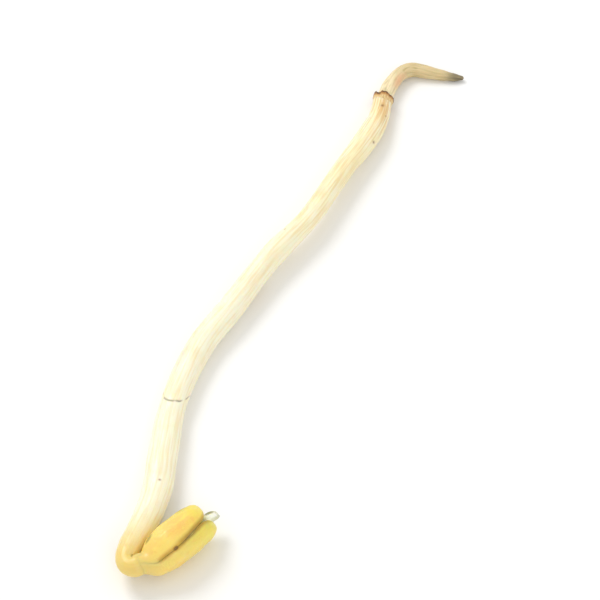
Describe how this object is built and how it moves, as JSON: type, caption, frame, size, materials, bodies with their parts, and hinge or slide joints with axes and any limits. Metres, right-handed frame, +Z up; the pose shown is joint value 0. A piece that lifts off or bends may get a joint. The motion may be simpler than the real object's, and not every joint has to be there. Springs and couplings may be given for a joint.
{
  "type": "mung bean sprout",
  "caption": "Pale bean sprout lying on a surface: long bent stem, hooked neck with yellow seed leaves round folded first leaves, and a thin root past a brown collar.",
  "frame": {"origin": "under the middle of the sprout's box, on the surface that it lies on", "axes": "+Z up from the surface, +Y from the hooked head towards the root, +X towards the side that the head turns to"},
  "size_m": [0.0325, 0.0614, 0.0041],
  "materials": {
    "stem": "moist satin skin of pale cream plant tissue that lets light through, yellower at the hook",
    "root": "dull beige skin with fine wrinkles along it, brown at the collar and grey-brown at the tip",
    "seed_leaf": "waxy yellow flesh with olive and orange shading and brown specks at the rims",
    "true_leaf": "thin pale yellow-green blade with fine veins, grey-green at its tip"
  },
  "bodies": {
    "root": {"stem": "stem", "taproot": "root", "cotyledon_upper": "seed_leaf", "cotyledon_lower": "seed_leaf", "leaf_upper": "true_leaf", "leaf_lower": "true_leaf"}
  },
  "joints": []
}
